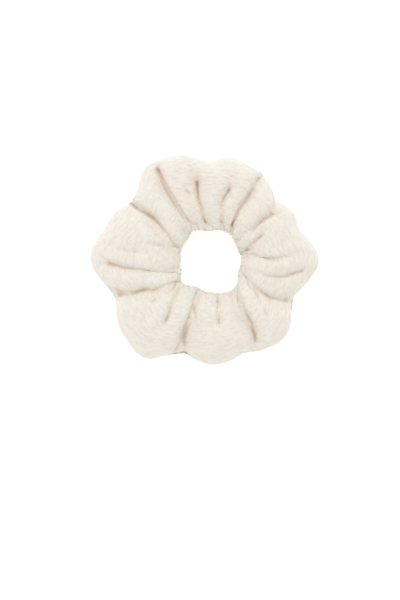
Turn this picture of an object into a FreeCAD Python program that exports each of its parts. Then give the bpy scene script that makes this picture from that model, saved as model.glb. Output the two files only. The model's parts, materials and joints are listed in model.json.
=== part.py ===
"""Gathered fabric scrunchie, lying flat: a cloth cover sewn into a ring round a loop of flat elastic.

The row frame is in millimetres: +Z up, origin on the resting surface under the middle of the whole ring.
The hair hole's own axis is vertical and stands hole_offset to the +X side of the origin.
The cover is cut through the hole's axis into a left and a right half, which the elastic lets slide apart.
"""

import FreeCAD, Part
import math
import os

import Sketcher
from FreeCAD import Rotation, Vector

# Driving dimensions: alias, value, meaning. Lengths are in millimetres and angles in degrees.
DIMENSIONS = [
    ("hole_offset", 3.0, "hair hole's axis from the ring's middle, along X"),
    ("hole_radius", 14.5, "cloth wall that grips the hair"),
    ("cloth_wall", 1.0, "cover wall: the gathered cloth's volume spread evenly"),
    ("trim_depth", 0.3, "how far the foot and the hole cut into the cover's outside"),
    ("puff_height", 24.0, "top of a full puff above the resting surface"),
    ("band_height", 11.0, "middle of the elastic above the resting surface"),
    ("grip_width", 8.4, "height of the upright wall inside the hole, where the elastic presses"),
    ("band_width", 6.0, "flat elastic, across"),
    ("band_thickness", 1.0, "flat elastic, through"),
    ("band_gap", 0.5, "from the hole's wall inside the cover to the elastic"),
    ("lap_gap", 0.05, "between the elastic's two lapped ends"),
    ("lap_angle", 44.0, "how much of the loop the lap takes"),
    ("lap_ramp", 12.0, "how much of the loop the step up to the lap takes"),
    ("thread_radius", 0.15, "sewing thread"),
    ("seam_depth", 5.0, "seam allowance, from the seam line to its cut edge"),
    ("seam_thickness", 1.2, "two layers of cloth in a seam allowance"),
    ("long_seam_radius", 27.6, "long seam's middle from the hole's axis"),
    ("lock_gap", 0.05, "from a seam's mid-plane to each thread where the two lock"),
    ("lay_gap", 0.02, "between the elastic and the zigzag threads that lie on it"),
    ("stitch_pitch", 2.5, "lockstitch length in the seams"),
    ("stitch_rise", 1.2, "long seam's stitch line from the cover's inner surface"),
    ("closing_rise", 1.9, "closing seam's stitch line from the cover's inner surface"),
    ("closing_angle", 120.0, "closing seam's place round the hole"),
    ("zigzag_pitch", 1.1, "zigzag stitch in the lap, along the elastic"),
    ("zigzag_width", 4.2, "zigzag stitch in the lap, across the elastic"),
]

# The rim seen from above: angle round the hole's axis and reach from it, at each puff and each notch.
RIM = [
    (0, 54.7), (20, 47.6), (30, 48.4), (41, 44.6), (60, 50.6), (78, 52.4), (92, 50.0),
    (108, 55.4), (124, 57.4), (141, 49.6), (160, 55.0), (178, 60.7), (201, 52.0),
    (220, 57.6), (234, 60.0), (253, 48.8), (272, 52.8), (290, 50.2), (313, 54.0), (335, 46.0),
]

# Gathers in the top of the cover: angle round the hole, share of the height lost, half width in degrees.
GATHERS = [
    (12, 0.20, 6), (38, 0.26, 6), (60, 0.32, 5), (80, 0.18, 5), (99, 0.30, 5), (120, 0.34, 5),
    (143, 0.28, 6), (165, 0.16, 6), (188, 0.30, 6), (212, 0.32, 7), (232, 0.14, 5), (252, 0.34, 6),
    (273, 0.18, 5), (300, 0.34, 6), (322, 0.16, 5), (340, 0.28, 6),
]

# The cover's outline round the tube: share of the way from the hole to the rim, share of the height.
TOP_OUTLINE = [(0.03, 0.62), (0.20, 0.95), (0.48, 1.08), (0.76, 0.98), (0.97, 0.66), (1.02, 0.36)]
FOOT_OUTLINE = [(0.95, 0.13), (0.78, 0.0), (0.62, 0.0), (0.44, 0.0), (0.26, 0.0), (0.08, 0.06)]

LEFT, RIGHT = (90, 270), (-90, 90)
ROW_STEP = 5
DEGREE = 3
STITCH_PARTS = 20
# Corners of one stitch: share of its length, and whether the thread lies on the seam's face there.
STITCH_STEPS = [(0.0, False), (0.1, False), (0.25, True), (0.85, True)]


def make_sheet(doc):
    """The spreadsheet of driving dimensions, and a reader for the pieces that are made in code."""
    sheet = doc.addObject("Spreadsheet::Sheet", "Dimensions")
    for row, (alias, value, meaning) in enumerate(DIMENSIONS, start=1):
        sheet.set(f"A{row}", alias)
        sheet.set(f"B{row}", str(value))
        sheet.set(f"C{row}", meaning)
        sheet.setAlias(f"B{row}", alias)
    doc.recompute()
    return sheet


class Sizes:
    """The sheet's cells as plain numbers: sizes.hole_radius and so on."""

    def __init__(self, sheet):
        self.sheet = sheet

    def __getattr__(self, alias):
        return float(self.sheet.get(alias))


def at(angle, radius, height):
    """A point from its angle in degrees, its distance from the hole's axis and its height."""
    turn = math.radians(angle)
    return Vector(radius * math.cos(turn), radius * math.sin(turn), height)


def rim_reach(angle):
    """The rim's distance from the hole's axis: an even wave from each puff to the next notch."""
    around = angle % 360
    stops = RIM + [(RIM[0][0] + 360, RIM[0][1])]
    for (low, reach), (high, next_reach) in zip(stops, stops[1:]):
        if low <= around <= high:
            share = (1 - math.cos(math.pi * (around - low) / (high - low))) / 2
            return reach + (next_reach - reach) * share
    return RIM[0][1]


def puff_share(angle):
    """How much of a full puff's height is left at this angle."""
    lost = 0.0
    for middle, depth, half_width in GATHERS:
        away = (angle - middle + 180) % 360 - 180
        lost = max(lost, depth * math.exp(-((away / half_width) ** 2)))
    return 1 - lost


def outline(sizes, angle):
    """The cover's outside at one angle, as (radius, height) poles round the tube, starting in the hole."""
    inside = sizes.hole_radius - sizes.trim_depth
    wide = rim_reach(angle) - inside
    tall = sizes.puff_height * puff_share(angle)
    grip_low = sizes.band_height - sizes.grip_width / 2
    grip_high = sizes.band_height + sizes.grip_width / 2
    top = [(inside + share * wide, height * tall) for share, height in TOP_OUTLINE]
    lip = [(radius, max(height, grip_high + 1)) for radius, height in top[:2]]
    foot = [(inside + share * wide, height * tall - sizes.trim_depth) for share, height in FOOT_OUTLINE]
    return [(inside, grip_low), (inside, sizes.band_height), (inside, grip_high)] + lip + top[2:] + foot


def inset(poles, depth):
    """The outline moved inwards by depth, each pole square to the line between its neighbours."""
    moved = []
    for i, (radius, height) in enumerate(poles):
        before, after = poles[i - 1], poles[(i + 1) % len(poles)]
        along = (after[0] - before[0], after[1] - before[1])
        size = math.hypot(*along)
        moved.append((radius + depth * along[1] / size, height - depth * along[0] / size))
    return moved


def closed_tube(rows):
    """A solid tube over rings of poles: a cubic surface along and around, with a flat face at each end."""
    spans, around = len(rows) - DEGREE, len(rows[0])
    surface = Part.BSplineSurface()
    surface.buildFromPolesMultsKnots(
        rows,
        [DEGREE + 1] + [1] * (spans - 1) + [DEGREE + 1],
        [1] * (around + 1),
        [float(k) for k in range(spans + 1)],
        [float(k) for k in range(around + 1)],
        False,
        True,
        DEGREE,
        DEGREE,
    )
    low, high, _, _ = surface.bounds()
    caps = [Part.Face(Part.Wire([surface.uIso(end).toShape()])) for end in (low, high)]
    shell = Part.makeShell([surface.toShape()] + caps)
    shell.sewShape()
    solid = Part.makeSolid(Part.Shell(shell.Faces))
    if solid.Volume < 0:
        solid.reverse()
    return solid


def cover_tube(sizes, first, last, depth):
    """The cover's outside from one angle to another, moved inwards by depth, as a solid."""
    rows = []
    for angle in range(first, last + 1, ROW_STEP):
        rows.append([at(angle, *pole) for pole in inset(outline(sizes, angle), depth)])
    return closed_tube(rows)


def bind(thing, **cells):
    """Ties properties to the sheet's cells. A double underscore in a name stands for a dot."""
    for name, expression in cells.items():
        thing.setExpression(name.replace("__", "."), expression)
    return thing


def cell(alias):
    return f"Dimensions.{alias}"


def cylinder(doc, name, radius, low, high):
    """A cylinder on the hole's axis, from one height to another. Its sizes are expressions."""
    made = doc.addObject("Part::Cylinder", name)
    bind(made, Radius=radius, Height=f"({high}) - ({low})")
    return bind(made, Placement__Base__x=cell("hole_offset"), Placement__Base__z=low)


def cut(doc, name, base, tool):
    made = doc.addObject("Part::Cut", name)
    made.Base, made.Tool = base, tool
    return made


def fuse(doc, name, *pieces):
    made = doc.addObject("Part::MultiFuse", name)
    made.Shapes = list(pieces)
    return made


def ring(doc, name, inner, outer, low, high):
    """A plain ring round the hole's axis."""
    disc = cylinder(doc, name + "_disc", outer, low, high)
    core = cylinder(doc, name + "_core", inner, low, high)
    return cut(doc, name, disc, core)


def solid_object(doc, name, shape):
    """A shape that was made in code round the hole's axis, as an object of the document."""
    made = doc.addObject("Part::Feature", name)
    made.Shape = shape
    return bind(made, Placement__Base__x=cell("hole_offset"))


def elastic_room(doc):
    """The space round the elastic that the seam allowances leave free."""
    inner = f"{cell('hole_radius')} - {cell('trim_depth')} + {cell('cloth_wall')} + 0.01"
    outer = f"{inner} + 2 * {cell('band_thickness')} + 4 * {cell('band_gap')}"
    half = f"({cell('band_width')} / 2 + {cell('band_gap')})"
    middle = cell("band_height")
    return ring(doc, "elastic_room", inner, outer, f"{middle} - {half}", f"{middle} + {half}")


def long_seam_allowance(doc):
    """The long seam's two edges, standing up inside the tube from the foot of the cover."""
    half = f"{cell('seam_thickness')} / 2"
    low, middle = cell("trim_depth"), cell("long_seam_radius")
    high = f"{low} + {cell('seam_depth')}"
    return ring(doc, "long_seam_allowance", f"{middle} - {half}", f"{middle} + {half}", low, high)


def seam_normal(sizes):
    """The direction square to the closing seam's plane."""
    return Rotation(Vector(0, 0, 1), sizes.closing_angle + 90).multVec(Vector(1, 0, 0))


def closed_curve(sizes, poles):
    """A smooth closed curve over an outline's poles, in the closing seam's plane."""
    curve = Part.BSplineCurve()
    curve.buildFromPolesMultsKnots(
        [at(sizes.closing_angle, *pole) for pole in poles],
        [1] * (len(poles) + 1),
        [float(k) for k in range(len(poles) + 1)],
        True,
        DEGREE,
    )
    return curve


def cut_edge(sizes, poles, depth):
    """The outline moved by depth towards the tube's middle line, stopping short of it."""
    low, high = min(z for _, z in poles), max(z for _, z in poles)
    near, far = min(r for r, _ in poles), max(r for r, _ in poles)
    middle, half = (low + high) / 2, (high - low) / 2
    moved = []
    for radius, height in poles:
        across = min(max(radius, near + half), far - half) - radius
        share = min(depth / math.hypot(across, middle - height), 0.8)
        moved.append((radius + across * share, height + (middle - height) * share))
    return moved


def closing_seam_allowance(doc, sizes):
    """The closing seam's two edges, standing in from the tube's wall all round."""
    poles = outline(sizes, sizes.closing_angle)
    root = closed_curve(sizes, inset(poles, sizes.cloth_wall / 2))
    edge = closed_curve(sizes, cut_edge(sizes, poles, sizes.cloth_wall + sizes.seam_depth))
    root_face, edge_face = [Part.Face(Part.Wire([curve.toShape()])) for curve in (root, edge)]
    allowance = root_face.cut(edge_face)
    allowance.translate(seam_normal(sizes) * (-sizes.seam_thickness / 2))
    return solid_object(doc, "closing_seam_allowance", allowance.extrude(seam_normal(sizes) * sizes.seam_thickness))


def cover_half(doc, sizes, side, first, last, with_closing_seam):
    """Half of the cloth cover: its skin, the seam allowances inside it, the hole's wall and the flat foot."""
    outside = solid_object(doc, side + "_outside", cover_tube(sizes, first, last, 0))
    inside = solid_object(doc, side + "_inside", cover_tube(sizes, first, last, sizes.cloth_wall))
    allowances = [cut(doc, side + "_long_seam", doc.getObject("long_seam_allowance"), doc.getObject("elastic_room"))]
    if with_closing_seam:
        seam = cut(doc, side + "_closing_seam", doc.getObject("closing_seam_allowance"), doc.getObject("elastic_room"))
        allowances.append(seam)
    kept = doc.addObject("Part::MultiCommon", side + "_allowances")
    kept.Shapes = [fuse(doc, side + "_all_allowances", *allowances) if with_closing_seam else allowances[0], outside]
    hollow = cut(doc, side + "_hollow", outside, inside)
    whole = fuse(doc, side + "_whole", hollow, kept)
    bored = cut(doc, side + "_bored", whole, doc.getObject("hair_hole"))
    return cut(doc, "cover_" + side, bored, doc.getObject("resting_surface"))


def cutting_tools(doc):
    """What the cover is trimmed with: the hair hole, and everything under the resting surface."""
    cylinder(doc, "hair_hole", cell("hole_radius"), "-1", f"2 * {cell('puff_height')}")
    below = doc.addObject("Part::Box", "resting_surface")
    bind(below, Length=f"8 * {cell('puff_height')}", Width=f"8 * {cell('puff_height')}", Height=cell("puff_height"))
    middle = f"-4 * {cell('puff_height')}"
    bind(below, Placement__Base__x=middle, Placement__Base__y=middle, Placement__Base__z=f"-{cell('puff_height')}")


def origin_plane(body, role):
    return next(plane for plane in body.Origin.OriginFeatures if plane.Role == role)


def elastic_band(doc, sizes):
    """A strip of flat elastic bent into a loop, its last stretch lapped over its first."""
    body = doc.addObject("PartDesign::Body", "elastic_band")
    sketch = body.newObject("Sketcher::SketchObject", "band_outline")
    sketch.AttachmentSupport = (origin_plane(body, "XY_Plane"), [""])
    sketch.MapMode = "FlatFace"
    start = f"(180 - {cell('lap_angle')} / 2)"
    finish = f"(180 + {cell('lap_angle')} / 2)"
    ramp = f"({finish} + {cell('lap_ramp')})"
    inner = f"({cell('hole_radius')} - {cell('trim_depth')} + {cell('cloth_wall')} + {cell('band_gap')})"
    outer = f"({inner} + {cell('band_thickness')})"
    lap_inner = f"({outer} + {cell('lap_gap')})"
    lap_outer = f"({lap_inner} + {cell('band_thickness')})"
    radius = {inner: 0.0, outer: 0.0, lap_inner: 0.0, lap_outer: 0.0}
    radius[inner] = sizes.hole_radius - sizes.trim_depth + sizes.cloth_wall + sizes.band_gap
    radius[outer] = radius[inner] + sizes.band_thickness
    radius[lap_inner] = radius[outer] + sizes.lap_gap
    radius[lap_outer] = radius[lap_inner] + sizes.band_thickness
    turn = {start: 180 - sizes.lap_angle / 2, finish: 180 + sizes.lap_angle / 2}
    turn[ramp] = turn[finish] + sizes.lap_ramp
    corners = [
        (inner, ramp), (inner, finish), (outer, finish), (outer, ramp),
        (lap_outer, finish), (lap_outer, start), (lap_inner, start), (lap_inner, finish),
    ]

    def corner(k):
        angle = math.radians(turn[corners[k][1]])
        return Vector(radius[corners[k][0]] * math.cos(angle), radius[corners[k][0]] * math.sin(angle), 0)

    def arc(r, first, last):
        whole = Part.Circle(Vector(0, 0, 0), Vector(0, 0, 1), radius[r])
        return Part.ArcOfCircle(whole, math.radians(first), math.radians(last))

    def constrain(*words):
        return sketch.addConstraint(Sketcher.Constraint(*words))

    long_way = (turn[ramp], turn[finish] + 360)
    lap_way = (turn[start], turn[finish])
    arcs = [(inner, long_way), (outer, long_way), (lap_outer, lap_way), (lap_inner, lap_way)]
    for r, way in arcs:
        sketch.addGeometry(arc(r, *way), False)
    lines = [(1, 2), (3, 4), (5, 6), (7, 0)]
    for first, last in lines:
        sketch.addGeometry(Part.LineSegment(corner(first), corner(last)), False)
    ends = {0: (0, 1), 1: (0, 2), 2: (1, 2), 3: (1, 1), 4: (2, 2), 5: (2, 1), 6: (3, 1), 7: (3, 2)}
    for k, (r, _) in enumerate(arcs):
        constrain("Coincident", k, 3, -1, 1)
        sketch.setExpression(f"Constraints[{constrain('Radius', k, radius[r])}]", r)
    for k, (first, last) in enumerate(lines, start=len(arcs)):
        constrain("Coincident", k, 1, *ends[first])
        constrain("Coincident", k, 2, *ends[last])
    for k, (geometry, point) in ends.items():
        r, angle = corners[k]
        number = constrain("DistanceY", -1, 1, geometry, point, corner(k).y)
        sketch.setExpression(f"Constraints[{number}]", f"{r} * sin({angle})")
    pad = body.newObject("PartDesign::Pad", "band_pad")
    pad.Profile = sketch
    pad.Midplane = True
    bind(pad, Length=cell("band_width"))
    return bind(body, Placement__Base__x=cell("hole_offset"), Placement__Base__z=cell("band_height"))


def thread(doc, sizes, name, points):
    """A sewing thread along a run of points, mitred at each of them."""
    along = (points[1] - points[0]).normalize()
    section = Part.Wire([Part.makeCircle(sizes.thread_radius, points[0], along)])
    return solid_object(doc, name, Part.makePolygon(points).makePipeShell([section], True, False, 1))


def stitch_lift(sizes, on_face):
    """Distance of a thread's middle from a seam's mid-plane: on the seam's face, or down in a needle hole."""
    return sizes.thread_radius + (sizes.seam_thickness / 2 if on_face else sizes.lock_gap)


def long_seam_thread(doc, sizes, name, side, first, last):
    """One thread of the long seam, over half of the ring. Side is -1 inside the seam and 1 outside it."""
    count = round(math.radians(last - first) * sizes.long_seam_radius / sizes.stitch_pitch)
    height = sizes.cloth_wall - sizes.trim_depth + sizes.stitch_rise
    points = []
    for stitch in range(count):
        for share, on_face in STITCH_STEPS:
            angle = first + (last - first) * (stitch + 0.05 + share) / count
            radius = sizes.long_seam_radius + side * stitch_lift(sizes, on_face)
            points.append(at(angle, radius, height))
    return thread(doc, sizes, name, points)


def closing_seam_thread(doc, sizes, name, side):
    """One thread of the closing seam, from above the elastic round the tube to below it."""
    poles = outline(sizes, sizes.closing_angle)
    line = closed_curve(sizes, inset(poles, sizes.cloth_wall + sizes.closing_rise))
    spots = line.discretize(Distance=sizes.stitch_pitch / STITCH_PARTS)
    clear = sizes.hole_radius + sizes.cloth_wall + 2 * sizes.band_thickness + 5 * sizes.band_gap
    outside = [spot for spot in spots if math.hypot(spot.x, spot.y) > clear]
    points = []
    for stitch in range(len(outside) // STITCH_PARTS):
        for share, on_face in STITCH_STEPS:
            spot = outside[STITCH_PARTS * stitch + round(STITCH_PARTS * share)]
            points.append(spot + seam_normal(sizes) * (side * stitch_lift(sizes, on_face)))
    return thread(doc, sizes, name, points)


def zigzag_thread(doc, sizes, name, radius):
    """One thread of the zigzag in the elastic's lap, lying on a face of the lap."""
    count = int(math.radians(sizes.lap_angle) * radius / sizes.zigzag_pitch) - 1
    points = []
    for turn in range(count):
        for share, across in ((0, -1), (0.1, 1), (0.5, 1), (0.6, -1)):
            along = (turn - count / 2 + share) * sizes.zigzag_pitch
            height = sizes.band_height + across * sizes.zigzag_width / 2
            points.append(at(180 + math.degrees(along / radius), radius, height))
    return thread(doc, sizes, name, points)


def band_face_radii(sizes):
    """The radii of the lap's inner and outer faces."""
    inner = sizes.hole_radius - sizes.trim_depth + sizes.cloth_wall + sizes.band_gap
    return inner, inner + 2 * sizes.band_thickness + sizes.lap_gap


def sewing_threads(doc, sizes):
    """The needle and bobbin threads of the three seams. The long seam's are cut where the halves meet."""
    inner, outer = band_face_radii(sizes)
    off = sizes.thread_radius + sizes.lay_gap
    return [
        zigzag_thread(doc, sizes, "elastic_needle_thread", outer + off),
        zigzag_thread(doc, sizes, "elastic_bobbin_thread", inner - off),
        long_seam_thread(doc, sizes, "long_seam_needle_thread_left", -1, *LEFT),
        long_seam_thread(doc, sizes, "long_seam_needle_thread_right", -1, *RIGHT),
        long_seam_thread(doc, sizes, "long_seam_bobbin_thread_left", 1, *LEFT),
        long_seam_thread(doc, sizes, "long_seam_bobbin_thread_right", 1, *RIGHT),
        closing_seam_thread(doc, sizes, "closing_seam_needle_thread", 1),
        closing_seam_thread(doc, sizes, "closing_seam_bobbin_thread", -1),
    ]


def check_and_export(doc, nodes):
    """Stops on anything broken, then writes one STEP file for each sub-part."""
    doc.recompute()
    broken = [made.Name for made in doc.Objects if {"Invalid", "Error"} & set(made.State)]
    for node in nodes:
        if node.Shape.isNull() or not node.Shape.isValid() or len(node.Shape.Solids) != 1:
            broken.append(node.Label)
    if broken:
        raise RuntimeError("broken: " + ", ".join(broken))
    os.makedirs("parts", exist_ok=True)
    for node in nodes:
        node.Shape.exportStep(f"parts/{node.Label}.step")
        print(node.Label, round(node.Shape.Volume, 2))


def main():
    doc = FreeCAD.newDocument("scrunchie")
    sizes = Sizes(make_sheet(doc))
    cutting_tools(doc)
    elastic_room(doc)
    long_seam_allowance(doc)
    closing_seam_allowance(doc, sizes)
    nodes = [
        cover_half(doc, sizes, "left", *LEFT, True),
        cover_half(doc, sizes, "right", *RIGHT, False),
        elastic_band(doc, sizes),
    ]
    nodes += sewing_threads(doc, sizes)
    check_and_export(doc, nodes)


main()
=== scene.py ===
"""The scrunchie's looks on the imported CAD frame: a simulated cloth cover over its elastic and threads."""

import json
import math

import bpy
import numpy as np
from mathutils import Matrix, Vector


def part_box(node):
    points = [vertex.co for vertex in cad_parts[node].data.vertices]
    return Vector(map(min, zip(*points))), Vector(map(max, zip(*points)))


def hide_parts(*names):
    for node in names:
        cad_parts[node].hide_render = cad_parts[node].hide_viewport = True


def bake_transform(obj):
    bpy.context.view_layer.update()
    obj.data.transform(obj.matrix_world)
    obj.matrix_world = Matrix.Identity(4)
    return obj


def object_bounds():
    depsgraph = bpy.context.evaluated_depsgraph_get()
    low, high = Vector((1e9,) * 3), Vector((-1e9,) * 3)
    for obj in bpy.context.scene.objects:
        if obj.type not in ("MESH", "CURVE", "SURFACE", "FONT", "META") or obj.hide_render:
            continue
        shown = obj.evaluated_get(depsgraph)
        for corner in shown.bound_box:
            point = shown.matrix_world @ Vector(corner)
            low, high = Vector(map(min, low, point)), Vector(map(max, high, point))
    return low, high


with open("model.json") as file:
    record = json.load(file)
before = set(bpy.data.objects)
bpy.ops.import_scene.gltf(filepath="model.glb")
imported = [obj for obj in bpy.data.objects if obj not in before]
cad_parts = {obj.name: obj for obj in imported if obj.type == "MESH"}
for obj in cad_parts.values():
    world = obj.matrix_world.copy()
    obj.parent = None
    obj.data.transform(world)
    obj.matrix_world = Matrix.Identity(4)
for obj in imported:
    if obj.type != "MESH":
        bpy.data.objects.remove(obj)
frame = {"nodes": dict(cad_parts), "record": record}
CAD_LOW, CAD_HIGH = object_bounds()

MM = 0.001
MOUNTS = {mount["name"]: mount for mount in frame["record"]["mounts"]}
HOLE_AXIS = np.array(MOUNTS["hair_hole"]["pos_m"][:2]) / MM
HOLE_RADIUS = MOUNTS["hair_hole"]["dims"]["r_mm"]
HOLE_MIDDLE = MOUNTS["hair_hole"]["pos_m"][2] / MM
TOP = CAD_HIGH.z / MM

# ---------------------------------------------------------------- camera, light and floor

CAMERA_HEIGHT = 1.2
VIEW_HEIGHT = 0.300
VIEW_MIDDLE = (-0.00225, -0.020)
FLOOR_SIDE, FLOOR_GAP = 6.0, 0.0001


def make_camera():
    """Straight down from above, with the ring a little above the middle of an upright frame."""
    data = bpy.data.cameras.new("camera")
    camera = bpy.data.objects.new("camera", data)
    bpy.context.scene.collection.objects.link(camera)
    camera.location = (*VIEW_MIDDLE, CAMERA_HEIGHT + HOLE_MIDDLE * MM)
    data.lens = data.sensor_width * CAMERA_HEIGHT / VIEW_HEIGHT
    data.clip_end = 10
    bpy.context.scene.camera = camera


def make_area_light(name, place, size, power):
    """A square light aimed at the middle of the scene."""
    data = bpy.data.lights.new(name, "AREA")
    data.size = size
    data.energy = power
    light = bpy.data.objects.new(name, data)
    bpy.context.scene.collection.objects.link(light)
    light.location = place
    light.rotation_euler = (-Vector(place)).to_track_quat("-Z", "Y").to_euler()


def make_studio():
    """An even white surround, one broad light behind the top of the ring, and the white floor."""
    world = bpy.data.worlds.new("studio")
    world.use_nodes = True
    background = world.node_tree.nodes["Background"]
    background.inputs["Color"].default_value = (1.0, 1.0, 1.0, 1)
    background.inputs["Strength"].default_value = 0.80
    bpy.context.scene.world = world
    bpy.context.scene.view_settings.view_transform = "Standard"
    make_area_light("key", (-0.15, 0.6, 1.1), size=0.9, power=3.2)
    mesh = bpy.data.meshes.new("floor")
    far = FLOOR_SIDE / 2
    corners = [(-far, -far, 0), (far, -far, 0), (far, far, 0), (-far, far, 0)]
    mesh.from_pydata(corners, [], [(0, 1, 2, 3)])
    mesh.materials.append(floor_material())
    floor = bpy.data.objects.new("floor", mesh)
    floor.location.z = -FLOOR_GAP
    bpy.context.scene.collection.objects.link(floor)


# ---------------------------------------------------------------- materials


def floor_material():
    """White table lit a little from below, as a light table is, so that hardly any shadow shows on it."""
    material = bpy.data.materials.new("floor")
    material.use_nodes = True
    shader = material.node_tree.nodes["Principled BSDF"]
    shader.inputs["Base Color"].default_value = (0.94, 0.94, 0.94, 1)
    shader.inputs["Roughness"].default_value = 0.8
    shader.inputs["Emission Color"].default_value = (1, 1, 1, 1)
    shader.inputs["Emission Strength"].default_value = 0.35
    return material


class Nodes:
    """Short words for building a node material. An input goes by its name, or as i0, i1... by its number."""

    def __init__(self, name, roughness):
        material = bpy.data.materials.new(name)
        material.use_nodes = True
        self.material = material
        self.tree = material.node_tree
        self.shader = self.tree.nodes["Principled BSDF"]
        self.shader.inputs["Roughness"].default_value = roughness

    def add(self, kind, settings=(), **inputs):
        node = self.tree.nodes.new(kind)
        for name, value in dict(settings).items():
            setattr(node, name, value)
        for name, value in inputs.items():
            self.feed(value, node.inputs[int(name[1:]) if name[1:].isdigit() else name])
        return node

    def feed(self, value, socket):
        if isinstance(value, bpy.types.NodeSocket):
            self.tree.links.new(value, socket)
        else:
            socket.default_value = value

    def maths(self, operation, first, second=0.0):
        return self.add("ShaderNodeMath", {"operation": operation}, i0=first, i1=second).outputs[0]

    def mix(self, share, first, second):
        node = self.add("ShaderNodeMix", {"data_type": "RGBA"})
        self.feed(share, node.inputs[0])
        self.feed(first, node.inputs[6])
        self.feed(second, node.inputs[7])
        return node.outputs[2]

    def between(self, value, low, high):
        """0 at low and 1 at high, with soft ends."""
        settings = {"interpolation_type": "SMOOTHSTEP"}
        return self.add("ShaderNodeMapRange", settings, i0=value, i1=low, i2=high).outputs[0]

    def noise(self, vector, across, along, detail, roughness, turn=0.0):
        """Noise with so many spots to a unit in each direction."""
        place = self.add("ShaderNodeMapping", Vector=vector, Scale=(across, along, 1), Rotation=(0, 0, turn))
        settings = {"Scale": 1.0, "Detail": detail, "Roughness": roughness}
        return self.add("ShaderNodeTexNoise", Vector=place.outputs[0], **settings).outputs[0]

    def finish(self, colour, height, strength, distance):
        """The colour, and bumps so many metres high."""
        bump = self.add("ShaderNodeBump", Strength=strength, Distance=distance, Height=height)
        self.feed(colour, self.shader.inputs["Base Color"])
        self.feed(bump.outputs[0], self.shader.inputs["Normal"])
        return self.material


def cloth_material():
    """Cream crinkle cotton. Its UV map is the flat cloth in centimetres, U along the ring and V round it."""
    nodes = Nodes("cloth", roughness=0.85)
    flat = nodes.add("ShaderNodeUVMap", {"uv_map": "flat_cloth"}).outputs[0]
    wander = nodes.add("ShaderNodeTexNoise", Vector=flat, Scale=1.6, Detail=2.0).outputs[1]
    multiply_add = {"operation": "MULTIPLY_ADD"}
    bent = nodes.add("ShaderNodeVectorMath", multiply_add, i0=wander, i1=(0.22, 0.22, 0), i2=flat).outputs[0]
    ribs = nodes.noise(bent, 2.0, 8.5, 2.0, 0.55)
    dashes = nodes.noise(bent, 4.5, 17.0, 1.0, 0.5, turn=0.04)
    grain = nodes.noise(flat, 30, 30, 1.0, 0.6)
    relief = nodes.maths("ADD", nodes.between(ribs, 0.34, 0.66), nodes.maths("MULTIPLY", dashes, 0.5))
    relief = nodes.maths("ADD", relief, nodes.maths("MULTIPLY", grain, 0.18))
    blotch = nodes.noise(flat, 0.35, 0.35, 3.0, 0.5)
    base = nodes.mix(nodes.between(blotch, 0.35, 0.65), (0.955, 0.912, 0.822, 1), (0.942, 0.885, 0.795, 1))
    # Painted shade: brownish lines where the ribs are low, down in the crinkle's grooves.
    lines = nodes.maths("MULTIPLY", nodes.between(ribs, 0.50, 0.34), 0.36)
    with_groove_shade = nodes.mix(lines, base, (0.78, 0.68, 0.57, 1))
    # Painted shade: the cloth's colour is tinted brown along the creases and in the deep folds, as far as the
    # fold attribute says.
    fold = nodes.add("ShaderNodeAttribute", {"attribute_name": "fold"}).outputs[2]
    folded = nodes.mix(nodes.maths("MULTIPLY", fold, 0.85), with_groove_shade, (0.57, 0.38, 0.26, 1))
    nodes.shader.inputs["Specular IOR Level"].default_value = 0.25
    nodes.shader.inputs["Sheen Weight"].default_value = 0.25
    nodes.shader.inputs["Sheen Roughness"].default_value = 0.5
    return nodes.finish(folded, relief, strength=0.8, distance=0.0003)


def elastic_material():
    """Braided elastic: rubber cords along the strip under slanting yarns. Its UV map is in millimetres."""
    nodes = Nodes("elastic", roughness=0.7)
    flat = nodes.add("ShaderNodeUVMap", {"uv_map": "flat_cloth"}).outputs[0]
    split = nodes.add("ShaderNodeSeparateXYZ", Vector=flat)
    along, across = split.outputs[0], split.outputs[1]
    cords = nodes.maths("SINE", nodes.maths("MULTIPLY", across, 2 * math.pi / 0.75))
    slant = nodes.maths("ADD", nodes.maths("MULTIPLY", along, 7.0), nodes.maths("MULTIPLY", cords, 1.2))
    yarns = nodes.maths("SINE", slant)
    relief = nodes.maths("ADD", nodes.maths("MULTIPLY", cords, 0.6), nodes.maths("MULTIPLY", yarns, 0.4))
    # Painted shade: darker where the relief is low, down between the cords and the yarns.
    shade = nodes.mix(nodes.between(relief, -0.8, 0.6), (0.62, 0.60, 0.56, 1), (0.84, 0.83, 0.80, 1))
    return nodes.finish(shade, relief, strength=0.8, distance=0.0001)


def thread_material(name, colour):
    """Spun sewing thread: two plies twisted together, as slanting bands in the object's own space."""
    nodes = Nodes(name, roughness=0.6)
    place = nodes.add("ShaderNodeTexCoord").outputs["Object"]
    settings = {"Scale": 1100.0, "Distortion": 2.0}
    plies = nodes.add("ShaderNodeTexWave", {"bands_direction": "DIAGONAL"}, Vector=place, **settings).outputs[1]
    # Painted shade: darker where the bands are low, in the grooves between the plies.
    ply_groove_shade = tuple(0.72 * part for part in colour)
    return nodes.finish(nodes.mix(plies, (*ply_groove_shade, 1), (*colour, 1)), plies, strength=0.6, distance=0.00004)


# ---------------------------------------------------------------- the cover's shape
# From here on, lengths are in millimetres and places are measured from the hole's axis.

CLOTH_LENGTH = 364.0
CLOTH_ROUND = 102.0
CLOTH_THICKNESS = 0.3
CLOSING_ANGLE = 120.0
ELASTIC_LOW, ELASTIC_HIGH = (corner.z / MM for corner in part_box("elastic_band"))
LIP, CLEAR_OF_ELASTIC = 0.8, 0.6
WALL_HALF = 4.2
RIM_HEIGHT, EDGE_ROUND = 0.44 * TOP, 11.0

# The hole's edge: angle and radius. Gathers push it in at the sides and leave it wider at its corners.
HOLE_EDGE = [
    (0, 15.0), (20, 14.5), (60, 15.7), (95, 14.5), (122, 16.3), (142, 15.3), (180, 14.5),
    (197, 14.8), (217, 17.8), (245, 14.7), (268, 16.0), (310, 18.2), (340, 14.7),
]

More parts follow.
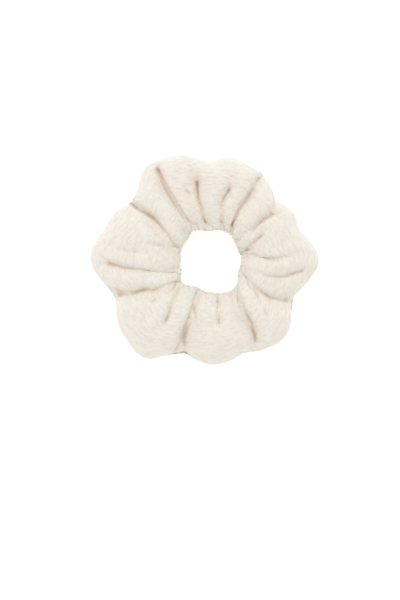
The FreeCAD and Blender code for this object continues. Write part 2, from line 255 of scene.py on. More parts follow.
# Fold lines in the top of the ring. Each has its points as (angle, radius) from the rim to the hole, its
# depth at the rim's end and at the hole's end, and its lean: 1 if the puff clockwise of it stands over it,
# -1 if the other one does, and 0 if both sides are alike.
FOLDS = [
    ([(119.5, 56), (122, 44), (121, 31), (118.5, 21.5)], 8, 5, 1),
    ([(109.5, 39.5), (106, 29.5), (107, 25), (110.5, 19)], 5, 5, 1),
    ([(99, 42.5), (101.5, 30.5), (99, 20.5), (94.5, 17.5)], 7, 8, 0),
    ([(73.5, 39), (79, 30.5), (80, 26.5), (76.5, 22.5), (72.5, 18.5)], 5, 6, -1),
    ([(60.5, 51), (59.5, 42), (62, 28.5), (59, 20)], 8, 5, -1),
    ([(35.5, 42), (37.5, 34), (35.5, 26), (36, 17)], 6, 4, 0),
    ([(28, 29), (22, 24.5), (16, 19), (12, 15)], 4, 8, 0),
    ([(10.5, 22.5), (7, 18)], 2, 6, 0),
    ([(6, 51), (2, 38.5), (356, 28)], 1.4, 1.4, 0),
    ([(354, 47.5), (350.5, 40.5), (346.5, 37)], 5, 4, -1),
    ([(342, 37.5), (343.5, 27.5), (345, 23)], 4, 2, 1),
    ([(336.5, 45), (333.5, 42.5), (328.5, 37), (328, 25), (335.5, 18)], 8, 6, -1),
    ([(314, 41), (317, 37), (320, 29.5), (322.5, 25.5)], 4, 4, 0),
    ([(297.5, 49.5), (301.5, 43.5), (303, 37), (304.5, 30), (310, 20)], 11, 5, -1),
    ([(302, 38), (298, 32), (295, 28)], 9, 2, -1),
    ([(276, 33.5), (278.5, 29), (280, 24.5), (282, 16.5)], 3, 5, 0),
    ([(252.5, 48), (249, 42), (249, 33.5), (249.5, 28.5), (246.5, 17.5)], 11, 5, 1),
    ([(249, 33.5), (255.5, 29.5)], 9, 2, 1),
    ([(235.5, 39.5), (229, 30), (221, 21.5)], 4, 5, 0),
    ([(214.5, 38), (216, 34), (218, 25.5), (218, 21.5)], 3, 5, 0),
    ([(195.5, 51.5), (202.5, 43), (203.5, 36), (208.5, 32), (209.5, 26.5), (212.5, 20.5)], 8, 5, 1),
    ([(192.5, 31.5), (197, 25), (198, 18.5)], 3, 6, 0),
    ([(180.5, 53.5), (185, 43.5), (188.5, 34)], 6, 3, 1),
    ([(169.5, 55.5), (174, 44.5), (174, 36)], 2, 1.4, 0),
    ([(149, 34), (155.5, 29), (161, 23)], 4, 4, 0),
    ([(143, 50), (142.5, 35.5), (149, 26), (155, 21.5), (161.5, 16.5)], 7, 6, 1),
    ([(131, 21), (133, 17)], 3, 6, 0),
]
FOOT_FOLDS = 17
NOTCH_DEPTH, NOTCH_HALF_ANGLE = 1.0, 6.0
STEEP, EVEN, GENTLE = 4.0, 3.0, 1.0


def rim_from_frame():
    """The CAD cover's reach from the hole's axis at every whole degree."""
    reach = np.zeros(360)
    for node in ("cover_left", "cover_right"):
        mesh = frame["nodes"][node].data
        spots = np.empty(len(mesh.vertices) * 3)
        mesh.vertices.foreach_get("co", spots)
        flat = spots.reshape(-1, 3)[:, :2] / MM - HOLE_AXIS
        degree = np.round(np.degrees(np.arctan2(flat[:, 1], flat[:, 0]))).astype(int) % 360
        np.maximum.at(reach, degree, np.hypot(flat[:, 0], flat[:, 1]))
    reach = np.median([np.roll(reach, k) for k in range(-2, 3)], axis=0)
    return np.mean([np.roll(reach, k) for k in range(-1, 2)], axis=0)


def smooth_through(stops):
    """An even wave through (angle, radius) stops, at every whole degree."""
    angles, radii = np.array(stops + [(360, stops[0][1])]).T
    degrees = np.arange(360)
    place = np.searchsorted(angles, degrees, side="right") - 1
    share = (degrees - angles[place]) / (angles[place + 1] - angles[place])
    return radii[place] + (radii[place + 1] - radii[place]) * (1 - np.cos(np.pi * share)) / 2


def sharpen_notches(reach):
    """Puffs meet in a sharp notch: each dip of the rim is cut a little deeper, in a V."""
    degrees = np.arange(360)
    lowest = np.min([np.roll(reach, k) for k in range(-8, 9)], axis=0)
    cut = np.zeros(360)
    for dip in np.flatnonzero(reach == lowest):
        away = np.abs((degrees - dip + 180) % 360 - 180)
        cut = np.maximum(cut, NOTCH_DEPTH * np.clip(1 - away / NOTCH_HALF_ANGLE, 0, 1) ** 1.5)
    return reach - cut


RIM = sharpen_notches(rim_from_frame())
HOLE = smooth_through(HOLE_EDGE)


def around_table(table, angle):
    """The value at an angle of a table with one value to a degree."""
    return np.interp(np.asarray(angle) % 360, np.arange(361), np.append(table, table[0]))


def rim_reach(angle):
    """How far out the ring reaches."""
    return around_table(RIM, angle)


def hole_reach(angle):
    """How far out the hole's edge lies."""
    return around_table(HOLE, angle)


def polar(angle, radius):
    """X and Y of a place given by its angle in degrees and its distance from the axis."""
    turn = np.radians(angle)
    return np.stack([radius * np.cos(turn), radius * np.sin(turn)], -1)


def outline(share, wide, tall):
    """Distance from the hole's wall and height, on a rounded oblong from the wall over the top and under."""
    turn = np.asarray(share) * 2 * np.pi
    squareness = 0.8
    across, up = [np.sign(part) * np.abs(part) ** squareness for part in (-np.cos(turn), np.sin(turn))]
    return wide * (across + 1) / 2, tall * (up + 1) / 2


def outline_by_length(wide):
    """The outline at closely spaced places: distance from the wall, height and distance along the cloth."""
    out, height = outline(np.linspace(0, 1, 1441), wide, TOP)
    length = np.append(0, np.cumsum(np.hypot(np.diff(out), np.diff(height))))
    return out, height, length / length[-1] * CLOTH_ROUND


def column_angles(around):
    """Where the cloth's columns lie at first: at even steps along the rim, from the closing seam."""
    angle = CLOSING_ANGLE + np.linspace(0, 360, 1441)
    x, y = polar(angle, rim_reach(angle)).T
    length = np.append(0, np.cumsum(np.hypot(np.diff(x), np.diff(y))))
    return np.interp(np.arange(around) / around * length[-1], length, angle)


def trace(points, spacing):
    """Evenly spaced places along a fold line, and the share of the way from the rim's end."""
    corners = np.array([polar(angle, radius) for angle, radius in points])
    length = np.append(0, np.cumsum(np.hypot(*np.diff(corners, axis=0).T)))
    stops = np.linspace(0, length[-1], max(2, int(length[-1] / spacing)))
    return np.stack([np.interp(stops, length, corners[:, k]) for k in (0, 1)], -1), stops / length[-1]


def fold_depth(share, outer, inner):
    """Depth along a fold line, fading out over its first stretch."""
    return (outer + (inner - outer) * share) * np.clip(share / 0.12, 0.45, 1)


def lid_height(radius, hole, rim):
    """How high a full puff reaches: up from the elastic, level, and rounded off over the rim."""
    share = np.clip((radius - hole) / (rim - hole), 0, 1)
    past = 0.93 * np.clip(1 - (rim - radius) / EDGE_ROUND, 0, 1)
    lip = ELASTIC_HIGH + LIP
    rising = lip + (TOP - LIP - lip) * np.clip(4.2 * share, 0, 1) ** 0.6
    return np.minimum(rising, RIM_HEIGHT + (TOP - RIM_HEIGHT) * np.sqrt(1 - past * past))


class FoldMap:
    """How far the fold lines press the top of the cover down, on a square grid seen from above."""

    STEP, SPAN = 0.4, 66.0

    def __init__(self):
        line = np.arange(-self.SPAN, self.SPAN, self.STEP)
        self.x, self.y = np.meshgrid(line, line, indexing="ij")
        self.drop = np.zeros_like(self.x)
        for points, outer, inner, lean in FOLDS:
            places, share = trace(points, 0.6)
            for place, depth in zip(places, fold_depth(share, outer, inner)):
                self.press(place, depth, lean)

    def press(self, place, depth, lean):
        reach = depth / GENTLE + 1
        low = ((place - reach + self.SPAN) / self.STEP).astype(int)
        high = ((place + reach + self.SPAN) / self.STEP).astype(int) + 2
        window = (slice(low[0], high[0]), slice(low[1], high[1]))
        dx, dy = self.x[window] - place[0], self.y[window] - place[1]
        away = np.hypot(dx, dy)
        slope = EVEN
        if lean:
            turned = (place[0] * dy - place[1] * dx) / math.hypot(*place) / (away + 1e-6)
            low_side = 0.5 + 0.5 * np.clip(3 * lean * turned, -1, 1)
            slope = STEEP + (GENTLE - STEEP) * low_side
        self.drop[window] = np.maximum(self.drop[window], depth - slope * np.maximum(away - 0.2, 0))

    def at(self, x, y):
        across, along = (x + self.SPAN) / self.STEP, (y + self.SPAN) / self.STEP
        i = np.clip(across.astype(int), 0, self.drop.shape[0] - 2)
        j = np.clip(along.astype(int), 0, self.drop.shape[1] - 2)
        s, t = across - i, along - j
        near = self.drop[i, j] * (1 - s) + self.drop[i + 1, j] * s
        far = self.drop[i, j + 1] * (1 - s) + self.drop[i + 1, j + 1] * s
        return near * (1 - t) + far * t


def column_at(angle, around):
    """The cloth's column that starts at this angle, with its fraction."""
    turned = CLOSING_ANGLE + (angle - CLOSING_ANGLE) % 360
    angles = np.append(column_angles(around), CLOSING_ANGLE + 360)
    return float(np.interp(turned, angles, np.arange(around + 1)))


def tie_top_folds(around, rows):
    """Which vertices are held down in the fold lines, and where."""
    ties = []
    for points, outer, inner, _ in FOLDS:
        places, share = trace(points, 0.5)
        depth = fold_depth(share, outer, inner)
        radius = np.hypot(*places.T)
        angle = math.degrees(math.atan2(*places[len(places) // 2][::-1]))
        hole, rim = float(hole_reach(angle)), float(rim_reach(angle))
        outs, _, lengths = outline_by_length(rim - hole)
        half = len(outs) // 2
        along = np.interp(np.clip(radius, hole, rim) - hole, outs[:half], lengths[:half])
        order = np.argsort(along)
        parts = [part[order] for part in (places[:, 0], places[:, 1], depth)]
        step = CLOTH_ROUND / rows
        for row in range(math.ceil(along.min() / step), int(along.max() / step) + 1):
            x, y, deep = [np.interp(row * step, along[order], part) for part in parts]
            away = math.hypot(x, y)
            height = float(lid_height(away, hole, rim)) - deep
            if away < hole + 4:
                height = max(height, ELASTIC_HIGH + LIP)
            ties.append((column_at(math.degrees(math.atan2(y, x)), around), row, x, y, height))
    return ties


def tie_foot_folds(around, rows):
    """The same for the pleats under the ring: evenly spread, a little uneven, and shallow."""
    ties = []
    for k in range(FOOT_FOLDS):
        angle = CLOSING_ANGLE + (k + 0.5) * 360 / FOOT_FOLDS + 7 * math.sin(2.4 * k)
        hole, rim = float(hole_reach(angle)), float(rim_reach(angle))
        for row in range(int(0.60 * rows), int(0.93 * rows)):
            out = np.interp(1 - row / rows, [0.07, 0.40], [0.06, 0.9])
            x, y = polar(angle, hole + (rim - hole) * out)
            ties.append((column_at(angle, around), row, x, y, 2.5 + 1.5 * math.sin(1.7 * k)))
    return ties


# ---------------------------------------------------------------- the cloth simulation

PULL, PUSH, SHEAR_PULL, SHEAR_PUSH, BEND, WIDE_BEND = 1.0, 0.5, 0.3, 0.15, 0.12, 0.1
PRESSURE, WEIGHT = 0.05, 0.25
DAMPING = 0.92
TOP_SPEED = 0.8
RIM_PULL, RIM_SHARE = 0.04, 0.1
TIE = 0.8
SEED = 7
COARSE_GRID = 120, 28
LEVELS = (260, 0.2), (200, 0.1), (120, 0.1)


def start_shape(around, rows):
    """The tube before it is gathered: smooth, a little small, with a faint random ripple to buckle from."""
    angle = column_angles(around)
    hole = hole_reach(angle)
    wide = (rim_reach(angle) - hole) * 0.96
    _, _, length = outline_by_length(40.0)
    share = np.interp(np.arange(rows) / rows * CLOTH_ROUND, length, np.linspace(0, 1, len(length)))
    out, height = outline(share[None, :], wide[:, None], 0.9 * TOP)
    radius = hole[:, None] + out
    turn = np.radians(angle)[:, None]
    spots = np.stack([radius * np.cos(turn), radius * np.sin(turn), height + 0 * turn + 0.3], -1)
    chance = np.random.default_rng(SEED)
    u, v = 2 * np.pi * np.arange(around)[:, None] / around, 2 * np.pi * np.arange(rows)[None, :] / rows
    ripple = np.zeros((around, rows))
    waves = 40
    for _ in range(waves):
        many, phase, size = chance.integers(12, 60), chance.uniform(0, 2 * np.pi), chance.normal()
        ripple += size * np.cos(many * u + chance.integers(-2, 3) * v + phase) / math.sqrt(waves)
    free = np.minimum(np.arange(rows), rows - np.arange(rows)) * CLOTH_ROUND / rows > 5
    return spots + outward(spots) * (1.2 * ripple * free)[..., None]


def outward(spots):
    """Unit normals of the grid, pointing out of the tube."""
    along = np.roll(spots, -1, 0) - np.roll(spots, 1, 0)
    across = np.roll(spots, -1, 1) - np.roll(spots, 1, 1)
    normal = np.cross(across, along)
    return normal / (np.linalg.norm(normal, axis=-1, keepdims=True) + 1e-9)


def link(spots, along, across, rest, push, pull):
    """Moves every vertex and its neighbour (along, across) towards their rest distance."""
    gap = np.roll(spots, (-along, -across), (0, 1)) - spots
    length = np.sqrt((gap * gap).sum(-1)) + 1e-9
    error = length - rest
    half = gap * (np.where(error > 0, pull, push) * error / length * 0.25)[..., None]
    spots += half
    spots -= np.roll(half, (along, across), (0, 1))


def gathered_share(rows):
    """How much of the cloth's length each row keeps. The rest is in crinkles too small for the grid."""
    away = np.minimum(np.arange(rows), rows - np.arange(rows)) * CLOTH_ROUND / rows
    reach = np.where(np.arange(rows) < rows / 2, 38.0, 24.0)
    return 0.37 + 0.63 * np.clip((away - 4.0) / reach, 0, 1)


def contain(spots, fold_map, upper, edge):
    """Keeps the cloth on the surface it lies on, under the folded lid, out at the rim and off the elastic."""
    radius = np.hypot(spots[..., 0], spots[..., 1]) + 1e-9
    angle = np.degrees(np.arctan2(spots[..., 1], spots[..., 0]))
    hole, rim = hole_reach(angle), rim_reach(angle)
    lid = lid_height(radius, hole, rim) - fold_map.at(spots[..., 0], spots[..., 1])
    height = spots[..., 2]
    height[:, upper] = np.minimum(height[:, upper], lid[:, upper])
    np.clip(height, CLOTH_THICKNESS, TOP, out=height)
    goal = np.clip(radius + edge * (rim - radius), hole, rim)
    past = np.maximum(1 - (rim - goal) / EDGE_ROUND, 0)
    tall = np.where(height > RIM_HEIGHT, TOP - RIM_HEIGHT, RIM_HEIGHT - CLOTH_THICKNESS)
    level = (height - RIM_HEIGHT) / tall
    over = np.maximum(np.hypot(past, level), 1)
    goal -= EDGE_ROUND * past * (1 - 1 / over)
    height[:] = RIM_HEIGHT + tall * level / over
    spots[..., :2] *= (goal / radius)[..., None]
    near = (radius > hole + 0.8) & (radius < hole + 4.0)
    over, under = near & upper, near & ~upper
    height[over] = np.maximum(height[over], ELASTIC_HIGH + CLEAR_OF_ELASTIC)
    height[under] = np.minimum(height[under], ELASTIC_LOW - CLEAR_OF_ELASTIC)


def hold_wall(spots, wall, wall_height, turn):
    """The elastic holds the cloth's middle against the hole."""
    held = spots[:, wall]
    radius = np.hypot(held[..., 0], held[..., 1])[..., None]
    hole = hole_reach(np.degrees(np.arctan2(held[..., 1], held[..., 0])))[..., None]
    goal = np.clip(radius, hole, hole + 0.5)
    held[..., :2] *= goal / radius
    held[..., :2] += 0.2 * (np.stack([np.cos(turn), np.sin(turn)], -1)[:, None, :] * goal - held[..., :2])
    held[..., 2] += 0.5 * (wall_height[None, :] - held[..., 2])
    spots[:, wall] = held


def keep_order(spots, least):
    """Neighbouring columns stay in order round the ring, so folds press together but never pass through."""
    turn = np.unwrap(np.arctan2(spots[..., 1], spots[..., 0]), axis=0)
    radius = np.hypot(spots[..., 0], spots[..., 1])
    following = np.roll(turn, -1, 0)
    following[-1] += 2 * np.pi
    lack = np.clip(least / radius - (following - turn), 0, None) / 4
    turn += np.roll(lack, 1, 0) - lack
    spots[..., 0], spots[..., 1] = radius * np.cos(turn), radius * np.sin(turn)


def relax(spots, steps, pressure, least, fold_map):
    """Lets the cloth find its folds."""
    around, rows, _ = spots.shape
    across = CLOTH_ROUND / rows
    along = CLOTH_LENGTH / around * gathered_share(rows)[None, :]
    diagonal = np.hypot(along, across)
    away = np.minimum(np.arange(rows), rows - np.arange(rows)) * across
    upper = np.arange(rows) <= rows // 2
    wall = away < WALL_HALF
    wall_height = (HOLE_MIDDLE + np.where(upper, away, -away))[wall]
    turn = np.radians(column_angles(around))
    edge = RIM_PULL * np.clip(1 - np.abs(np.arange(rows) / rows - 0.5) / RIM_SHARE, 0, 1)
    ties = np.array(tie_top_folds(around, rows) + tie_foot_folds(around, rows))
    before_tie, row = ties[:, 0].astype(int), ties[:, 1].astype(int)
    tied, next_tied = (before_tie % around, row), ((before_tie + 1) % around, row)
    part, places = (ties[:, 0] - before_tie)[:, None], ties[:, 2:]
    speed = np.zeros_like(spots)
    for _ in range(steps):
        before = spots.copy()
        speed = speed * DAMPING + pressure * outward(spots)
        speed[..., 2] -= WEIGHT * pressure
        spots = spots + speed
        for _ in range(3):
            link(spots, 0, 1, across, 0.8, PULL)
            link(spots, 1, 0, along, PUSH, PULL)
            link(spots, 1, 1, diagonal, SHEAR_PUSH, SHEAR_PULL)
            link(spots, 1, -1, diagonal, SHEAR_PUSH, SHEAR_PULL)
            link(spots, 2, 0, 2 * along, BEND, 0.0)
            link(spots, 0, 2, 2 * across, BEND, 0.0)
            link(spots, 4, 0, 4 * along, WIDE_BEND, 0.0)
            contain(spots, fold_map, upper, edge)
            lack = TIE * (places - (1 - part) * spots[tied] - part * spots[next_tied])
            spots[tied] += (1 - part) * lack
            spots[next_tied] += part * lack
            hold_wall(spots, wall, wall_height, turn)
        keep_order(spots, least)
        speed = spots - before
        fast = np.sqrt((speed * speed).sum(-1, keepdims=True))
        speed *= np.minimum(1, TOP_SPEED / (fast + 1e-9))
    return spots


def refine(spots):
    """Twice the columns and twice the rows, on a smooth curve through the old ones."""
    for axis in (0, 1):
        ahead, behind, further = np.roll(spots, -1, axis), np.roll(spots, 1, axis), np.roll(spots, -2, axis)
        middle = (9 * (spots + ahead) - behind - further) / 16
        shape = list(spots.shape)
        shape[axis] *= 2
        spots = np.stack([spots, middle], axis + 1).reshape(shape)
    return spots


def soften(spots, passes):
    """Rounds off what is smaller than the cloth's own bend."""
    for _ in range(passes):
        for axis in (0, 1):
            spots = (2 * spots + np.roll(spots, 1, axis) + np.roll(spots, -1, axis)) / 4
    return spots


def drape_cover():
    """The gathered cover as a grid of vertices: columns along the cloth's length, rows round the tube."""
    fold_map = FoldMap()
    spots = start_shape(*COARSE_GRID)
    for level, (steps, least) in enumerate(LEVELS):
        if level:
            spots = refine(spots)
        spots = relax(spots, steps, PRESSURE / 2 ** level, least, fold_map)
    return soften(spots, 2)


# ---------------------------------------------------------------- pieces

# SHADE_DEEPEST, SHADE_BESIDE and SHADE_CREASE weigh the painted shade in the deepest folds, beside creases and
# along them.
SHADE_DEEPEST, SHADE_BESIDE, SHADE_CREASE = 0.5, 0.4, 0.8
BAND_THICKNESS = 1.0
BAND_OUTER = (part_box("elastic_band")[1].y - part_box("elastic_band")[0].y) / 2 / MM
BAND_GAP = BAND_OUTER - BAND_THICKNESS - HOLE_RADIUS
LAP_START, LAP_END, LAP_RAMP = 158.0, 202.0, 12.0
LAP_STEP = BAND_THICKNESS + 0.05
CORDS, CORD_SWELL = 8, 0.08
LONG_SEAM_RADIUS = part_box("long_seam_needle_thread_right")[1].x / MM - HOLE_AXIS[0]
SEAM_DEPTH, SEAM_RISE, SEAM_GROOVE = 5.0, 1.2, 0.5
THREAD_RADIUS = 0.15
STITCH_PITCH, STITCH_PARTS = 2.5, 20
BY_ELASTIC = 12.0
ZIGZAG_PITCH, ZIGZAG_WIDTH = 1.1, 4.2
RIPPLES, RIPPLE_DEPTH, RIPPLE_REACH = 46, 0.65, 9.0
RUFFLE_LENGTH, RUFFLE_DEPTH = 6.0, 2.0


class Patch:
    """A grid of vertices that becomes part of a mesh. Flat is the size of the flat cloth in its UV map. Shade
    is its painted shade at each vertex.
    """

    def __init__(self, spots, closed=(True, True), flat=(1, 1), flip=False, shade=None):
        self.spots, self.closed, self.flat, self.flip = spots, closed, flat, flip
        self.shade = np.zeros(spots.shape[:2]) if shade is None else shade

    def faces(self, first):
        """Vertex numbers and UVs of the faces: quads, and a cap on each end that isn't closed."""
        along, across, _ = self.spots.shape
        steps = np.arange(along - (not self.closed[0])), np.arange(across - (not self.closed[1]))
        i, j = np.meshgrid(*steps, indexing="ij")
        corners = [(i, j), (i + 1, j), (i + 1, j + 1), (i, j + 1)][:: -1 if self.flip else 1]
        numbers = np.stack([(a % along) * across + b % across for a, b in corners], -1)
        uv = [np.stack([a * self.flat[0] / along, b * self.flat[1] / across], -1) for a, b in corners]
        faces, uvs = (numbers.reshape(-1, 4) + first).tolist(), np.stack(uv, -2).reshape(-1, 2).tolist()
        if not self.closed[0]:
            ring = np.arange(across) + first
            faces += [ring.tolist(), (ring + (along - 1) * across)[::-1].tolist()]
            uvs += [[0.0, k * self.flat[1] / across] for k in range(across)] * 2
        return faces, uvs


def build_mesh(name, patches):
    """One mesh from grid patches given in millimetres round the hole's axis."""
    spots, faces, uvs, painted_shades = [], [], [], []
    for patch in patches:
        new_faces, new_uvs = patch.faces(sum(len(part) for part in spots))
        faces += new_faces
        uvs += new_uvs
        spots.append((patch.spots.reshape(-1, 3) + np.append(HOLE_AXIS, 0)) * MM)
        painted_shades.append(patch.shade.ravel())
    mesh = bpy.data.meshes.new(name)
    mesh.from_pydata(np.concatenate(spots).tolist(), [], faces)
    mesh.uv_layers.new(name="flat_cloth").data.foreach_set("uv", np.array(uvs, np.float32).ravel())
    # The fold attribute holds each vertex's painted shade, which tints the cloth's colour.
    fold = mesh.attributes.new("fold", "FLOAT", "POINT")
    fold.data.foreach_set("value", np.concatenate(painted_shades).astype(np.float32))
    mesh.shade_smooth()
    return mesh


def add_piece(name, patches, material, slot, *nodes):
    """A piece that stands for CAD nodes, which it hides."""
    mesh = build_mesh(name, patches)
    mesh.materials.append(material)
    piece = bpy.data.objects.new(name, mesh)
    bpy.context.scene.collection.objects.link(piece)
    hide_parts(*nodes)
    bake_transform(piece)
    return piece


def behind_mean(spots, reach):
    """How far each vertex lies behind the mean of its neighbourhood, in millimetres."""
    mean = spots
    for axis in (0, 1):
        mean = sum(np.roll(mean, k, axis) for k in range(-reach, reach + 1)) / (2 * reach + 1)
    return ((mean - spots) * outward(spots)).sum(-1)


def painted_fold_shade(spots):
    """Painted shade for the cloth's colour: 0 on a puff, more beside a crease and most along it and in the
    deepest folds.
    """
    deepest = np.clip(behind_mean(spots, 14) / 2.5 - 0.5, 0, 1)
    beside = np.clip(behind_mean(spots, 7) / 1.6 - 0.1, 0, 1)
    crease = np.clip(behind_mean(spots, 2) / 0.32 - 0.4, 0, 1)
    return SHADE_DEEPEST * deepest + SHADE_BESIDE * beside + SHADE_CREASE * crease


def random_waves(noise, turn, shift, counts):
    """Waves of random size, each with its own count round the ring."""
    return [noise.normal() * np.sin(2 * np.pi * (count * turn + noise.random()) + shift) for count in counts]


def ripple(spots):
    """Presses in the small gathers by the elastic: more cloth than the hole's edge has room for."""
    around, rows, _ = spots.shape
    noise = np.random.default_rng(SEED)
    turn = (np.arange(around) / around)[:, None]
    row = (np.arange(rows) / rows * 2 * np.pi)[None, :]
    slow = range(1, 9)
    wander = sum(wave / count for count, wave in zip(slow, random_waves(noise, turn, row, slow)))
    strength = sum(random_waves(noise, turn, -row, range(5, 17))) / 4
    wave = 0.5 + 0.5 * np.sin(2 * np.pi * RIPPLES * turn + 1.4 * wander)
    angle = np.degrees(np.arctan2(spots[..., 1], spots[..., 0]))
    away = np.hypot(spots[..., 0], spots[..., 1]) - hole_reach(angle)
    fade = np.exp(-((np.maximum(away, 0) / RIPPLE_REACH) ** 2))
    depth = RIPPLE_DEPTH * np.clip(0.6 + 0.5 * strength, 0.1, 1) * fade * wave
    return soften(spots - outward(soften(spots, 6)) * depth[..., None], 1)


def long_seam_row(spots):
    """The row of the cover's underside that lies nearest to the long seam's radius."""
    radius = np.hypot(spots[..., 0], spots[..., 1]).mean(0)
    under = spots[..., 2].mean(0) < HOLE_MIDDLE / 2
    return int(np.argmin(np.abs(radius - LONG_SEAM_RADIUS) + 99 * ~under))


def press_seams(spots):
    """Draws the cloth in along the closing seam, which is column 0, and the long seam, which is row 0."""
    around, rows, _ = spots.shape
    i, j = np.arange(around), np.arange(rows)
    from_closing = np.minimum(i, around - i)[:, None] * CLOTH_LENGTH / around
    from_long = np.minimum(j, rows - j)[None, :] * CLOTH_ROUND / rows
    depth = np.exp(-((from_closing / 1.1) ** 2)) + np.exp(-((from_long / 1.1) ** 2))
    return spots - outward(spots) * (SEAM_GROOVE * np.minimum(depth, 1))[..., None]


def smooth_line(line, reach, closed):
    """A line without its small wiggles."""
    for _ in range(3):
        padded = np.pad(line, ((reach, reach), (0, 0)), mode="wrap" if closed else "edge")
        line = sum(padded[k:k + len(line)] for k in range(2 * reach + 1)) / (2 * reach + 1)
    return line


def even_steps(line, step, closed):
    """Points at even steps along a line, whose first three columns are its place."""
    loop = np.vstack([line, line[:1]]) if closed else line
    length = np.append(0, np.cumsum(np.linalg.norm(np.diff(loop[:, :3], axis=0), axis=1)))
    stops = np.arange(0, length[-1], step)
    return np.stack([np.interp(stops, length, part) for part in loop.T], -1)


def seam_line(cloth, inwards, closed):
    """A seam's line along the cloth in even steps, a direction across it, and its allowance's direction."""
    rough = np.hstack([smooth_line(cloth, 1, closed), smooth_line(inwards, 6, closed)])
    line, inwards = np.split(even_steps(rough, STITCH_PITCH / STITCH_PARTS, closed), 2, axis=1)
    ahead = np.roll(line, -2, 0) - np.roll(line, 2, 0)
    if not closed:
        ahead[:2], ahead[-2:] = ahead[2], ahead[-3]
    side = np.cross(ahead, inwards)
    side /= np.linalg.norm(side, axis=1, keepdims=True)
    rise = np.cross(side, ahead)
    return line, side, rise / np.linalg.norm(rise, axis=1, keepdims=True)


def leaf(line, side, sign, rise, ruffle, closed):
    """One of a seam's two allowances: a strip of cloth along rise, on the side that sign, 1 or -1, gives."""
    near, far = THREAD_RADIUS / 2, THREAD_RADIUS / 2 + CLOTH_THICKNESS
    section = [(near, 0.3), (far, 0.3), (far + 0.3, SEAM_DEPTH), (near + 0.3, SEAM_DEPTH)][::sign]
    grid = [line + sign * side * out + (rise + ruffle) * up for out, up in section]
    return Patch(np.stack(grid, 1)[::4], (closed, True), (CLOTH_LENGTH / 10, SEAM_DEPTH / 10))


def seam_thread(line, side, rise):
    """One thread of a lockstitch, on one face of the seam and down in its needle holes."""
    share = np.arange(len(line)) % STITCH_PARTS / STITCH_PARTS
    face = CLOTH_THICKNESS + 0.1
    lift = np.interp(share, [0, 0.1, 0.25, 0.85, 1], [0.05, 0.05, face, face, 0.05])
    return line + rise * SEAM_RISE + side * (THREAD_RADIUS + lift)[:, None]


def tube(path, closed=False, sides=6):
    """A thread's round tube along a path."""
    ahead = np.roll(path, -1, 0) - np.roll(path, 1, 0)
    if not closed:
        ahead[0], ahead[-1] = path[1] - path[0], path[-1] - path[-2]
    ahead /= np.linalg.norm(ahead, axis=1, keepdims=True)
    across = np.cross(ahead, np.where(np.abs(ahead[:, 2:]) < 0.9, [[0, 0, 1.0]], [[1.0, 0, 0]]))
    across /= np.linalg.norm(across, axis=1, keepdims=True)
    up = np.cross(across, ahead)
    turns = np.arange(sides) * 2 * np.pi / sides
    rings = [path + THREAD_RADIUS * (math.cos(turn) * across + math.sin(turn) * up) for turn in turns]
    return Patch(np.stack(rings, 1), (closed, True))


def on_band(angle, out, up):
    """A place on the elastic's loop: out from its inner face and up from its middle."""
    angle, out, up = np.broadcast_arrays(angle, out, up)
    flat = polar(angle, hole_reach(angle) + BAND_GAP + out)
    return np.concatenate([flat, (HOLE_MIDDLE + up)[..., None]], -1)


def make_elastic():
    """A strip of elastic that starts on the lap's outer layer, steps in and goes round to end under it."""
    angle = np.linspace(LAP_START, LAP_END + 360, 700)
    down = np.clip((angle - LAP_END) / LAP_RAMP, 0, 1)
    layer = LAP_STEP * (1 - down * down * (3 - 2 * down))
    half = (ELASTIC_HIGH - ELASTIC_LOW) / 2
    up = np.linspace(half, -half, 8 * CORDS + 1)
    rounded = (1 - np.abs(up / half) ** 6) ** 0.5
    between_cords = np.sin(np.pi * CORDS * (up + half) / (2 * half)) ** 2
    face = BAND_THICKNESS / 2 * rounded - CORD_SWELL * between_cords * rounded
    section_out = BAND_THICKNESS / 2 + np.append(-face, face[-2:0:-1])
    section_up = np.append(up, up[-2:0:-1])
    spots = on_band(angle[:, None], layer[:, None] + section_out[None, :], section_up[None, :])
    loop = np.radians(LAP_END - LAP_START + 360) * (BAND_OUTER - BAND_THICKNESS / 2)
    patch = Patch(spots, (False, True), (loop, 2 * (ELASTIC_HIGH - ELASTIC_LOW)))
    add_piece("elastic", [patch], elastic_material(), "elastic", "elastic_band")


def make_zigzag(name, node, out, material):
    """One thread of the zigzag through the elastic's lap, on one of the lap's faces."""
    reach = BAND_OUTER + BAND_THICKNESS / 2
    count = int(math.radians(LAP_END - LAP_START) * reach / ZIGZAG_PITCH) - 1
    one_turn = (0, -1), (0.1, 1), (0.5, 1), (0.6, -1)
    stops = [(turn + share, across) for turn in range(count) for share, across in one_turn]
    along, across = np.array(stops).T
    angle = (LAP_START + LAP_END) / 2 + np.degrees((along - count / 2) * ZIGZAG_PITCH / reach)
    path = even_steps(on_band(angle, out, across * ZIGZAG_WIDTH / 2), 0.12, closed=False)
    add_piece(name, [tube(smooth_line(path, 1, closed=False))], material, "elastic_thread", node)


def clear_of_elastic(column):
    """The closing seam's part of a column: from above the elastic, round the outside, to below it."""
    away = np.hypot(column[:, 0], column[:, 1]) - hole_reach(CLOSING_ANGLE)
    wall = int(np.argmin(away + 99 * (np.abs(column[:, 2] - HOLE_MIDDLE) > 2)))
    skipped = int(len(column) * BY_ELASTIC / CLOTH_ROUND)
    return np.roll(np.arange(len(column)), -wall)[skipped:-skipped]


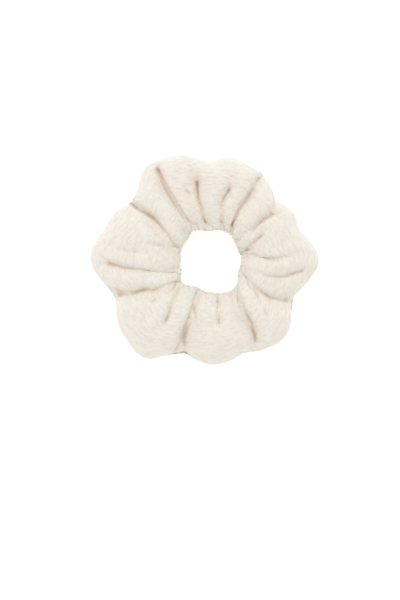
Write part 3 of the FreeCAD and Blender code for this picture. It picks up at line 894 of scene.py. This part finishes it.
def make_cover(spots):
    """The cover's cloth with its seams drawn in and their allowances inside, and the seams' threads."""
    spots = ripple(press_seams(np.roll(spots, -long_seam_row(spots), 1)))
    inwards = -outward(spots)
    inner = spots + inwards * CLOTH_THICKNESS
    # Painted shade in the folds, worked out from the cloth's shape.
    shade = painted_fold_shade(spots)
    flat = CLOTH_LENGTH / 10, CLOTH_ROUND / 10
    patches = [Patch(spots, flat=flat, flip=True, shade=shade), Patch(inner, flat=flat, shade=shade)]
    cotton = thread_material("seam_thread", (0.86, 0.82, 0.73))

    line, side, rise = seam_line(inner[:, 0], np.tile((0, 0, 1.0), (len(inner), 1)), closed=True)
    step = np.arange(len(line)) * STITCH_PITCH / STITCH_PARTS
    ruffle = side * (RUFFLE_DEPTH / SEAM_DEPTH * np.sin(2 * np.pi * step / RUFFLE_LENGTH))[:, None]
    for kind, sign in (("needle", -1), ("bobbin", 1)):
        patches.append(leaf(line, side, sign, rise, ruffle, closed=True))
        name = f"long_seam_{kind}_thread"
        path = seam_thread(line, sign * side, rise)
        add_piece(name, [tube(path, closed=True)], cotton, "seam_thread", f"{name}_left", f"{name}_right")

    middle = inner[0].mean(0)
    part = inner[0][clear_of_elastic(inner[0])]
    to_middle = (middle - part) / np.linalg.norm(middle - part, axis=1, keepdims=True)
    line, side, rise = seam_line(part, to_middle, closed=False)
    for kind, sign in (("needle", -1), ("bobbin", 1)):
        patches.append(leaf(line, side, sign, rise, 0, closed=False))
        name, node = f"end_seam_{kind}_thread", f"closing_seam_{kind}_thread"
        add_piece(name, [tube(seam_thread(line, sign * side, rise))], cotton, "seam_thread", node)

    cover = add_piece("cover", patches, cloth_material(), "cloth", "cover_left", "cover_right")


make_camera()
make_studio()
make_cover(drape_cover())
make_elastic()
polyester = thread_material("elastic_thread", (0.88, 0.87, 0.84))
lap_face = LAP_STEP + BAND_THICKNESS
make_zigzag("zigzag_needle_thread", "elastic_needle_thread", lap_face + THREAD_RADIUS, polyester)
make_zigzag("zigzag_bobbin_thread", "elastic_bobbin_thread", -THREAD_RADIUS, polyester)
